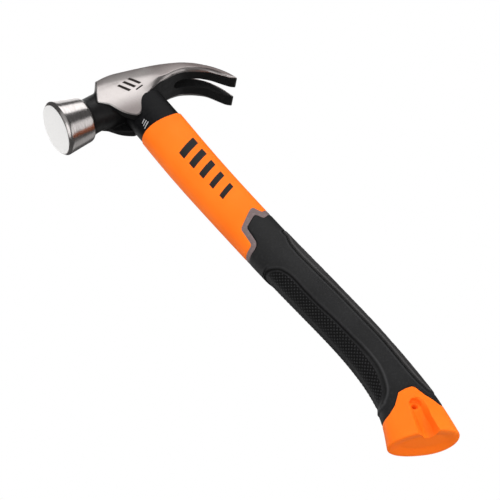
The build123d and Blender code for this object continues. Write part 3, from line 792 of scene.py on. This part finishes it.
def surface_nets(field, origin, pitch):
    """Quads over the zero level of a grid: one vertex per mixed cell, one face per crossing."""
    inside = field < 0
    nx, ny, nz = (n - 1 for n in field.shape)
    count = np.zeros((nx, ny, nz), np.int8)
    for dx, dy, dz in product((0, 1), repeat=3):
        count += inside[dx:dx + nx, dy:dy + ny, dz:dz + nz]
    mixed = (count > 0) & (count < 8)
    index = np.full(mixed.shape, -1, np.int64)
    index[mixed] = np.arange(mixed.sum())
    cells = np.argwhere(mixed)
    unit = np.eye(3, dtype=int)

    # each vertex is the mean of the crossings on its cell's twelve edges
    total = np.zeros((len(cells), 3))
    crossings = np.zeros(len(cells))
    for axis in range(3):
        side1, side2 = [unit[q] for q in range(3) if q != axis]
        for d1, d2 in product((0, 1), repeat=2):
            start = side1 * d1 + side2 * d2
            low = field[tuple((cells + start).T)]
            high = field[tuple((cells + start + unit[axis]).T)]
            crossed = (low < 0) != (high < 0)
            t = np.where(crossed, low / np.where(crossed, low - high, 1), 0)
            spot = start[None, :] + np.zeros((len(cells), 3))
            spot[:, axis] += t
            total[crossed] += spot[crossed]
            crossings[crossed] += 1
    verts = (cells + total / crossings[:, None]) * pitch + origin

    faces = []
    for axis in range(3):
        o1, o2 = (axis + 1) % 3, (axis + 2) % 3
        edges = np.argwhere(np.diff(inside, axis=axis))
        enclosed = ((edges[:, o1] > 0) & (edges[:, o2] > 0)
                    & (edges[:, o1] < field.shape[o1] - 1) & (edges[:, o2] < field.shape[o2] - 1))
        edges = edges[enclosed]
        leaving = inside[tuple(edges.T)]
        quads = np.stack([index[tuple((edges - back).T)] for back in
                          (unit[o1] + unit[o2], unit[o2], 0 * unit[o1], unit[o1])], -1)
        quads[~leaving] = quads[~leaving][:, ::-1]
        faces.append(quads)
    return verts, np.vstack(faces)


def settle(distance, verts):
    """Move vertices onto the zero level of a distance function, in four short steps."""
    probe, longest = 0.04, 0.25
    for _ in range(4):
        value = distance(verts)
        slope = np.zeros_like(verts)
        for axis in range(3):
            d = np.zeros(3)
            d[axis] = probe
            slope[:, axis] = (distance(verts + d) - distance(verts - d)) / (2 * probe)
        move = slope * (-value / np.maximum((slope ** 2).sum(1), 0.05))[:, None]
        length = np.linalg.norm(move, axis=1)
        verts = verts + move * np.minimum(1, longest / np.maximum(length, 1e-9))[:, None]
    return verts


# ------------------------------------------------------------------ hammer head
def bell_body():
    (front_x, front_r), back_r = BELL_FACE[-1], 15.35
    taper = [(x, front_r + (x - front_x) * (back_r - front_r) / 17.4)
             for x in np.linspace(-59.0, -43.2, 14)]
    count = 256
    turn = circle(count)
    return tube([np.stack([np.full(count, x), radius * np.cos(turn), radius * np.sin(turn)], -1)
                 for x, radius in BELL_FACE + taper + BELL_BACK])


def build_head():
    pitch = 0.42
    xs = np.arange(-46.0, 67.0, pitch)
    ys = np.arange(-15.0, 15.0 + pitch, pitch)
    zs = np.arange(-29.0, 21.0, pitch)
    y, z = np.meshgrid(ys, zs, indexing="ij")
    field = np.empty((len(xs), len(ys), len(zs)))
    for i, x in enumerate(xs):
        points = np.stack([np.full_like(y, x), y, z], -1).reshape(-1, 3)
        field[i] = head_distance(points).reshape(y.shape)
    verts, faces = surface_nets(field, np.array([xs[0], ys[0], zs[0]]), pitch)
    ob = solid(settle(head_distance, verts), faces)
    boolean(ob, bell_body(), "UNION")
    tidy(ob)
    return ob


def mark_head(ob):
    """Store the masks that the head's material reads."""
    x, y, z = table_xyz(ob)
    outline = lookup(TO_OUTLINE, x, z)
    to_top = lookup(TO_TOP, x, z)
    half = lookup(HALF_THICK, x, z)
    # painted highlight: a bright line coloured along the front edge of the cheeks
    set_attribute(ob, "rim", hump(outline + 0.25, 0.45) * (np.abs(y) > half - 1.0)
                  * smoothstep(-8.0, -14.0, x))
    # bare metal: the bell, the flat sides and the top edge; the rest stays black
    side = np.minimum(np.abs(y) - (half - 0.5), 0.06 - outline)
    top = np.where(x > -26, np.minimum(0.75 - to_top, 63.9 - x), -5.0)
    bell = np.where(x < -40.5, np.minimum(-41.66 - x, 1.0), -5.0)
    body = np.where(x > -40.5, np.maximum(side, top), -5.0)
    set_attribute(ob, "polish", np.maximum(bell, body))
    set_attribute(ob, "face", np.where(x < -62.5, 16.4 - np.hypot(y, z), -1.0))
    set_attribute(ob, "bell", -41.0 - x)
    # painted shade, not a heat tint: the claws, the lower cheeks and a band under the top edge of
    # the cheeks are coloured darker, the claws most along the top and towards the tips
    ridge = column(LEAN, x) * (1 - 0.7 * smoothstep(40.0, 54.0, x))
    upper = smoothstep(-0.4, 1.2, lookup(TO_UNDER, x, z) - ridge)
    claw = smoothstep(4.0, 22.0, x) * (0.72 + 0.28 * hump(to_top, 4.0)) * upper
    low_cheek = 0.85 * (smoothstep(-3.0, -16.0, z) * (x < 10))
    top_cheek = 0.62 * hump(to_top, 4.6) * (x < 12)
    dark = np.clip(np.maximum.reduce([claw, low_cheek, top_cheek]), 0, 1)
    set_attribute(ob, "temper", dark + 0.5 * smoothstep(34.0, 58.0, x) * upper)
    # tally mark on both cheeks: three leaning bars over a rule, turned by 0.30 rad
    c, s = math.cos(0.30), math.sin(0.30)
    u = (x + 4.6) * c + (z - 3.4) * s
    w = -(x + 4.6) * s + (z - 3.4) * c
    bars = [bar(u + 5.6 - 5.2 * i + 0.25 * w, w - 0.9, half_across=1.25, half_along=4.3)
            for i in range(3)]
    bars.append(bar(w + 5.6, u - 2.2, half_across=0.55, half_along=3.4))
    set_mark(ob, bars, np.abs(y) > 8)


# ------------------------------------------------------------------ collar
def build_collar(head):
    """Black filling between the handle and the head, cut to the head's own shape."""
    count = 260
    angle, _ = around(count)
    # height and inset of each ring; the lower rim is rounded
    levels = [(-32.4, 0.35), (-32.32, 0.12), (-32.05, 0.0)]
    levels += [(z, 0.0) for z in np.arange(-31.4, -6.9, 0.5)] + [(-7.0, 0.0)]
    rows = []
    for z, inset in levels:
        x, y = section(14.9 - inset, 12.3 - inset, angle)
        rows.append(np.stack([COLLAR_X + x, y, np.full(count, z)], -1))
    ob = tube(rows)
    boolean(ob, head, "DIFFERENCE", keep_cutter=True)
    boolean(ob, rod_room(ROD_TOP[1]), "DIFFERENCE")
    tidy(ob)

    # three small leaning bars near the face side, low on both flanks
    x, y, z = table_xyz(ob)
    bars = [bar((z + 29.4 - 1.9 * i) - 0.5 * (x + 12.8), x + 12.8,
                half_across=0.38, half_along=1.9 - 0.35 * i) for i in range(3)]
    set_mark(ob, bars, np.abs(y) > 2)
    return ob


head = build_head()
collar = build_collar(head)
jacket = build_jacket()
band = build_band()
grip = build_grip()
strip = build_strip()
mark_head(head)      # after the collar, which is cut with the unmarked head


# ------------------------------------------------------------------ materials
class Shader:
    """Small builder for the node tree of a material or world.

    Values may be sockets, which are linked, or constants; a colour is (r, g, b).
    """

    def __init__(self, owner, output="ShaderNodeOutputMaterial"):
        owner.use_nodes = True
        self.owner = owner
        self.tree = owner.node_tree
        self.tree.nodes.clear()
        self.output = self.add(output)
        self._position = None

    def feed(self, socket, value):
        if isinstance(value, bpy.types.NodeSocket):
            self.tree.links.new(value, socket)
        elif socket.type == "RGBA":
            socket.default_value = value + (1.0,)
        else:
            socket.default_value = value

    def add(self, kind, inputs=None, **settings):
        """New node; inputs are keyed by name or number."""
        node = self.tree.nodes.new(kind)
        for key, value in settings.items():
            setattr(node, key, value)
        for key, value in (inputs or {}).items():
            self.feed(node.inputs[key], value)
        return node

    def position(self):
        if self._position is None:
            self._position = self.add("ShaderNodeTexCoord").outputs["Object"]
        return self._position

    def bsdf(self, **inputs):
        return self.add("ShaderNodeBsdfPrincipled",
                        {key.replace("_", " "): value for key, value in inputs.items()})

    def noise(self, scale, detail, rough, coord=None):
        return self.add("ShaderNodeTexNoise", {
            "Scale": scale, "Detail": detail, "Roughness": rough,
            "Vector": coord or self.position()}).outputs["Fac"]

    def stretch(self, *scale):
        return self.add("ShaderNodeMapping", {
            "Scale": scale, "Vector": self.position()}).outputs["Vector"]

    def remap(self, value, span, to, **settings):
        """Take value from one range to another, held within it."""
        return self.add("ShaderNodeMapRange", {
            "From Min": span[0], "From Max": span[1], "To Min": to[0], "To Max": to[1],
            "Value": value}, **settings).outputs["Result"]

    def step(self, value, width):
        """Soft step from 0 to 1 as value passes zero."""
        return self.remap(value, span=(-width, width), to=(0.0, 1.0),
                          interpolation_type="SMOOTHSTEP")

    def math(self, operation, a, b):
        return self.add("ShaderNodeMath", {0: a, 1: b}, operation=operation).outputs[0]

    def mix(self, factor, under, over):
        node = self.add("ShaderNodeMix", data_type="RGBA", clamp_factor=True)
        sockets = {socket.identifier: socket for socket in node.inputs}
        self.feed(sockets["Factor_Float"], factor)
        self.feed(sockets["A_Color"], under)
        self.feed(sockets["B_Color"], over)
        return [out for out in node.outputs if out.identifier == "Result_Color"][0]

    def tint(self, value, span, under, over, amount=(0.0, 1.0)):
        """Lay one colour over another by a value taken over a span."""
        return self.mix(self.remap(value, span, amount), under, over)

    def bump(self, height, strength, distance, normal=None):
        inputs = {"Strength": strength, "Distance": distance, "Height": height}
        if normal is not None:
            inputs["Normal"] = normal
        return self.add("ShaderNodeBump", inputs).outputs["Normal"]

    def attribute(self, name):
        return self.add("ShaderNodeAttribute", attribute_name=name).outputs["Fac"]

    def blend(self, factor, a, b):
        return self.add("ShaderNodeMixShader", {0: factor, 1: a.outputs[0], 2: b.outputs[0]})

    def masked(self, name, width, a, b):
        """Shader b where the named attribute is above zero."""
        return self.blend(self.step(self.attribute(name), width), a, b)

    def done(self, shader):
        self.feed(self.output.inputs["Surface"], shader.outputs[0])
        return self.owner


def new_material(name):
    return Shader(bpy.data.materials.new(name))


def head_material():
    m = new_material("ground_steel_and_enamel")
    grain = m.noise(scale=1500.0, detail=4.0, rough=0.62)
    blotch = m.noise(scale=60.0, detail=3.0, rough=0.55)
    brushed = m.noise(scale=300.0, detail=3.0, rough=0.6, coord=m.stretch(0.10, 1.0, 1.6))
    base = m.tint(blotch, span=(0.3, 0.7), under=(0.40, 0.365, 0.355), over=(0.47, 0.435, 0.425))
    base = m.tint(grain, span=(0.35, 0.65), amount=(0.0, 0.45), under=base,
                  over=(0.56, 0.53, 0.52))
    # painted highlight along the front edge of the cheeks
    base = m.tint(m.attribute("rim"), span=(0.2, 0.9), amount=(0.0, 0.8), under=base,
                  over=(0.86, 0.83, 0.81))
    # painted shade: darkens the steel on the claws and on parts of the cheeks
    base = m.tint(m.attribute("temper"), span=(0.0, 1.5), amount=(0.0, 1.35), under=base,
                  over=(0.135, 0.112, 0.108))
    rough = m.math("ADD", m.remap(grain, span=(0.3, 0.7), to=(0.27, 0.36)),
                   m.remap(brushed, span=(0.3, 0.7), to=(-0.02, 0.03)))
    normal = m.bump(grain, strength=0.07, distance=0.0003)
    normal = m.bump(brushed, strength=0.03, distance=0.0004, normal=normal)
    steel = m.bsdf(Base_Color=base, Metallic=1.0, Roughness=rough, Normal=normal)
    # the striking face is ground finer and stays lighter
    fine = m.bsdf(Base_Color=m.tint(grain, span=(0.35, 0.65), under=(0.80, 0.79, 0.78),
                                    over=(0.90, 0.89, 0.88)),
                  Metallic=1.0, Roughness=m.remap(grain, span=(0.3, 0.7), to=(0.38, 0.48)),
                  Normal=normal)
    turned = m.noise(scale=260.0, detail=3.0, rough=0.6, coord=m.stretch(5.0, 0.6, 0.6))
    lathe = m.bsdf(Base_Color=m.tint(turned, span=(0.35, 0.65), under=(0.47, 0.44, 0.43),
                                     over=(0.60, 0.57, 0.56)),
                   Metallic=1.0, Roughness=m.remap(turned, span=(0.3, 0.7), to=(0.17, 0.25)),
                   Normal=m.bump(turned, strength=0.04, distance=0.0003, normal=normal))
    steel = m.masked("bell", 0.05, steel, lathe)
    steel = m.masked("face", 0.05, steel, fine)
    peel = m.noise(scale=380.0, detail=3.0, rough=0.5)
    dust = m.noise(scale=1400.0, detail=2.0, rough=0.6)
    black = m.bsdf(Base_Color=m.tint(dust, span=(0.45, 0.75), under=(0.0050, 0.0050, 0.0053),
                                     over=(0.0120, 0.0115, 0.0115)),
                   Roughness=m.remap(peel, span=(0.3, 0.7), to=(0.34, 0.48)),
                   Specular_IOR_Level=0.20,
                   Normal=m.bump(peel, strength=0.12, distance=0.0008))
    etch = m.bsdf(Base_Color=(0.012, 0.009, 0.007), Roughness=0.6, Specular_IOR_Level=0.15,
                  Normal=m.bump(grain, strength=0.2, distance=0.0005))
    metal = m.masked("mark", 0.10, steel, etch)
    return m.done(m.masked("polish", 0.05, black, metal))


def jacket_material():
    m = new_material("orange_polypropylene")
    cloud = m.noise(scale=22.0, detail=2.0, rough=0.5)
    fine = m.noise(scale=900.0, detail=3.0, rough=0.55)
    base = m.tint(cloud, span=(0.35, 0.65), under=(0.94, 0.160, 0.008), over=(0.99, 0.185, 0.012))
    normal = m.bump(fine, strength=0.06, distance=0.0004)
    orange = m.bsdf(Base_Color=base, Roughness=m.remap(fine, span=(0.3, 0.7), to=(0.42, 0.56)),
                    Normal=normal, Specular_IOR_Level=0.08, Subsurface_Weight=0.10,
                    Subsurface_Scale=0.002, Subsurface_Radius=(1.0, 0.35, 0.12))
    ink = m.bsdf(Base_Color=(0.010, 0.010, 0.010), Roughness=0.5, Specular_IOR_Level=0.2,
                 Normal=normal)
    printed = m.masked("mark", 0.06, orange, ink)
    # painted reflection: glossy rays see a dull brown in place of the orange, so the handle's
    # reflection in the metal is dimmer
    painted_reflection = m.bsdf(Base_Color=(0.16, 0.060, 0.030), Roughness=0.6, Specular_IOR_Level=0.1)
    glossy = m.add("ShaderNodeLightPath").outputs["Is Glossy Ray"]
    return m.done(m.blend(m.math("MULTIPLY", glossy, 0.8), printed, painted_reflection))


def rubber(name, dark, light, rough, bump, scale=700.0, painted_relief=0.0):
    """Mottled rubber; the last argument is how strongly painted shade in the grooves and a painted
    highlight on the raised edges pick out the moulded texture.
    """
    m = new_material(name)
    grain = m.noise(scale=scale, detail=4.0, rough=0.6)
    cloud = m.noise(scale=35.0, detail=3.0, rough=0.5)
    base = m.tint(cloud, span=(0.3, 0.7), under=dark, over=light)
    base = m.tint(grain, span=(0.5, 0.8), amount=(0.0, 0.6), under=base,
                  over=tuple(min(1, c * 1.7 + 0.004) for c in light))
    if painted_relief:
        # painted shade in the grooves of the moulded texture, painted highlight on its raised
        # edges and pad tops
        base = m.tint(m.attribute("groove_shade"), span=(0.1, 0.8), amount=(0.0, painted_relief), under=base,
                      over=tuple(c * 0.12 for c in dark))
        base = m.tint(m.attribute("ridge"), span=(0.05, 1.0), amount=(0.0, painted_relief), under=base,
                      over=tuple(c * 2.6 for c in light))
    normal = m.bump(grain, strength=bump, distance=0.0005)
    return m.done(m.bsdf(
        Base_Color=base, Specular_IOR_Level=0.2, Normal=normal,
        Roughness=m.remap(grain, span=(0.3, 0.7), to=(rough - 0.07, rough + 0.08))))


def collar_material():
    m = new_material("collar_black_moulding")
    grain = m.noise(scale=600.0, detail=3.0, rough=0.5)
    black = m.bsdf(Base_Color=m.tint(grain, span=(0.4, 0.7), under=(0.0035, 0.0035, 0.004),
                                     over=(0.007, 0.007, 0.0075)),
                   Roughness=m.remap(grain, span=(0.3, 0.7), to=(0.40, 0.52)),
                   Specular_IOR_Level=0.10,
                   Normal=m.bump(grain, strength=0.08, distance=0.0004))
    ink = m.bsdf(Base_Color=(0.62, 0.62, 0.63), Roughness=0.4, Metallic=0.6)
    return m.done(m.masked("mark", 0.06, black, ink))


def rod_material():
    m = new_material("fibreglass_rod")
    streak = m.noise(scale=900.0, detail=2.0, rough=0.5, coord=m.stretch(1.0, 1.0, 0.02))
    return m.done(m.bsdf(Base_Color=m.mix(streak, (0.46, 0.44, 0.30), (0.66, 0.64, 0.50)),
                         Roughness=0.45, Normal=m.bump(streak, strength=0.15, distance=0.0004)))


def resin_material():
    m = new_material("eye_epoxy")
    cloud = m.noise(scale=240.0, detail=3.0, rough=0.5)
    return m.done(m.bsdf(Base_Color=m.mix(cloud, (0.006, 0.006, 0.006), (0.02, 0.018, 0.016)),
                         Roughness=0.22, Coat_Weight=0.3,
                         Normal=m.bump(cloud, strength=0.1, distance=0.001)))


# ------------------------------------------------------------------ placing the pieces
def place(ob, name, node, material, sharp_degrees):
    mesh = ob.data
    ob.name = name
    mesh.name = name
    mesh.materials.clear()
    mesh.materials.append(material)
    mesh.polygons.foreach_set("use_smooth", np.ones(len(mesh.polygons), bool))
    mesh.set_sharp_from_angle(angle=math.radians(sharp_degrees))
    mesh.update()
    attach(ob, "root")
    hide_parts(node)


def hold(ob, low=-math.inf, high=math.inf):
    """Keep the outermost points of a piece inside the CAD's own height."""
    mesh = ob.data
    co = np.empty(len(mesh.vertices) * 3)
    mesh.vertices.foreach_get("co", co)
    co[2::3] = np.clip(co[2::3], low, high)
    mesh.vertices.foreach_set("co", co)
    mesh.update()


hold(jacket, low=CAD_BOX[0][2])
hold(head, high=CAD_BOX[1][2])
place(head, "head_forging", "hammer_head", head_material(), sharp_degrees=40)
place(collar, "collar_moulding", "neck_collar", collar_material(),
      sharp_degrees=35)
place(jacket, "jacket_moulding", "jacket", jacket_material(), sharp_degrees=40)
place(band, "band_moulding", "accent_band",
      rubber("grey_rubber", dark=(0.135, 0.10, 0.10), light=(0.17, 0.13, 0.13),
             rough=0.6, bump=0.12),
      sharp_degrees=40)
place(grip, "grip_moulding", "grip",
      rubber("black_soft_rubber", dark=(0.0090, 0.0090, 0.0094), light=(0.0135, 0.0135, 0.0140),
             rough=0.56, bump=0.16, painted_relief=0.9),
      sharp_degrees=50)
place(strip, "palm_strip_moulding", "palm_strip",
      rubber("rough_black_rubber", dark=(0.016, 0.015, 0.015), light=(0.030, 0.029, 0.029),
             rough=0.6, bump=0.5, scale=900.0, painted_relief=0.7),
      sharp_degrees=60)
for node_name, node_material in (("core_rod", rod_material()), ("eye_resin", resin_material())):
    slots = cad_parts[node_name].data.materials
    slots.clear()
    slots.append(node_material)

# ------------------------------------------------------------------ camera
# columns: the camera's right, up and backward directions
CAMERA_AXES = Matrix(((0.8000084098491513, 0.3624711138703106, -0.4781226158426817),
                      (-0.15660130361260638, -0.6431163396875341, -0.7495848219739648),
                      (-0.579191311983756, 0.6745487864020842, -0.4577350313074267)))
CAMERA_PLACE = Vector((-0.3879023512562206, -0.5906830891000013, -0.18540577153358458))

camera_data = bpy.data.cameras.new("camera")
camera = bpy.data.objects.new("camera", camera_data)
bpy.context.scene.collection.objects.link(camera)
camera_data.lens = 89.53893
camera_data.sensor_width = 36.0
camera_data.sensor_fit = "HORIZONTAL"
camera_data.clip_start = 0.01
camera_data.clip_end = 50.0
camera.matrix_world = Matrix.Translation(CAMERA_PLACE) @ CAMERA_AXES.to_4x4()
bpy.context.scene.camera = camera

# ------------------------------------------------------------------ lights
# Directions are given along the camera's right, up and backward axes, from the aim point.
LAMP_AIM = Vector((-0.01, 0.0, 0.19))
CARD_AIM = Vector((-0.01, 0.0, 0.32))
# name, offset from the aim, size, watts
LAMPS = [
    ("key_upper_right", (0.68, 1.55, 0.85), (1.1, 0.8), 19.0),
    ("key_upper_left", (-0.75, 0.75, 0.45), (0.7, 0.5), 4.0),
    ("fill_front", (0.1, -0.1, 1.1), (0.9, 0.9), 5.0),
    ("fill_right", (1.0, -0.2, 0.35), (0.6, 0.8), 5.0),
    ("fill_left", (-1.0, -0.45, 0.45), (0.6, 0.8), 2.6)]
# white reflectors seen only in metal and gloss: name, direction, distance, size, brightness
CARDS = [
    ("card_above", (0.15, 0.945, 0.19), 1.0, (0.84, 0.66), 1.95),
    ("card_face", (-0.765, -0.346, -0.544), 0.9, (0.55, 0.7), 1.22),
    ("card_right", (0.87, -0.15, 0.32), 0.9, (0.40, 0.9), 1.05),
    ("card_low_left", (-0.40, -0.50, 0.76), 1.0, (0.7, 0.5), 1.3),
    ("card_behind_up", (-0.15, 0.60, -0.79), 1.0, (0.7, 0.5), 1.15),
    ("card_far_side", (-0.30, 0.08, -1.0), 1.3, (1.2, 0.8), 0.9),
    ("card_behind_low", (0.53, -0.62, -0.58), 1.0, (0.7, 0.5), 0.40),
    ("card_wide", (-0.1, 0.1, 1.0), 1.3, (2.4, 2.4), 0.36)]


def area_light(name, aim, offset, size, watts, reflector):
    """Area light; a reflector shows only in gloss, a lamp only in diffuse light."""
    light = bpy.data.lights.new(name, "AREA")
    light.shape = "RECTANGLE"
    light.size, light.size_y = size
    light.energy = watts
    ob = bpy.data.objects.new(name, light)
    bpy.context.scene.collection.objects.link(ob)
    ob.location = aim + CAMERA_AXES @ Vector(offset)
    ob.rotation_mode = "QUATERNION"
    ob.rotation_quaternion = (aim - ob.location).to_track_quat("-Z", "Y")
    ob.visible_camera = False
    ob.visible_diffuse = not reflector
    ob.visible_glossy = reflector


for light_name, offset, size, watts in LAMPS:
    area_light(light_name, LAMP_AIM, offset, size, watts, reflector=False)
for light_name, toward, distance, size, brightness in CARDS:
    area_light(light_name, CARD_AIM, Vector(toward).normalized() * distance, size,
               watts=brightness * math.pi * size[0] * size[1], reflector=True)


# ------------------------------------------------------------------ floor
def floor_material():
    """Pale, partly self-lit floor; clear from below and to shadow rays."""
    pale = (0.80, 0.80, 0.79)
    m = new_material("pale_floor")
    matt = m.add("ShaderNodeBsdfDiffuse", {"Color": pale})
    clear = m.add("ShaderNodeBsdfTransparent")
    unseen = m.math("MAXIMUM", m.add("ShaderNodeNewGeometry").outputs["Backfacing"],
                    m.add("ShaderNodeLightPath").outputs["Is Shadow Ray"])
    glow = m.add("ShaderNodeEmission", {"Color": pale, "Strength": 0.86})
    matt_share = 0.32
    return m.done(m.blend(unseen, m.blend(matt_share, glow, matt), clear))


floor_paint = floor_material()
floor = new_object("floor", [(-3, -3, 0), (3, -3, 0), (3, 3, 0), (-3, 3, 0)], [[0, 1, 2, 3]])
floor.data.materials.append(floor_paint)
floor.location.z = -0.0002
floor.visible_diffuse = False
floor.visible_glossy = False


# ------------------------------------------------------------------ world
def build_world():
    """White to the camera, a soft gradient for diffuse light, dim in reflections."""
    world = bpy.data.worlds.new("studio")
    bpy.context.scene.world = world
    w = Shader(world, "ShaderNodeOutputWorld")
    white = w.add("ShaderNodeBackground", {"Color": (1.0, 1.0, 1.0), "Strength": 1.0})
    brighter_side = (CAMERA_AXES @ Vector((-0.80, 0.45, 0.15))).normalized()
    toward = w.add("ShaderNodeVectorMath", {
        0: w.add("ShaderNodeTexCoord").outputs["Generated"], 1: brighter_side},
        operation="DOT_PRODUCT").outputs["Value"]
    gradient = w.remap(toward, span=(-0.5, 0.9), to=(0.45, 0.65),
                       interpolation_type="SMOOTHSTEP")
    # sockets 0, 2 and 3 of a float mix are the factor and its two values
    glossy_level = 0.13
    level = w.add("ShaderNodeMix", {
        0: w.add("ShaderNodeLightPath").outputs["Is Glossy Ray"], 2: gradient,
        3: glossy_level}, data_type="FLOAT").outputs[0]
    studio = w.add("ShaderNodeBackground", {"Strength": level})
    seen_directly = w.add("ShaderNodeLightPath").outputs["Is Camera Ray"]
    w.done(w.blend(seen_directly, studio, white))


build_world()
bpy.context.scene.view_settings.view_transform = "Standard"
bpy.context.scene.view_settings.look = "None"
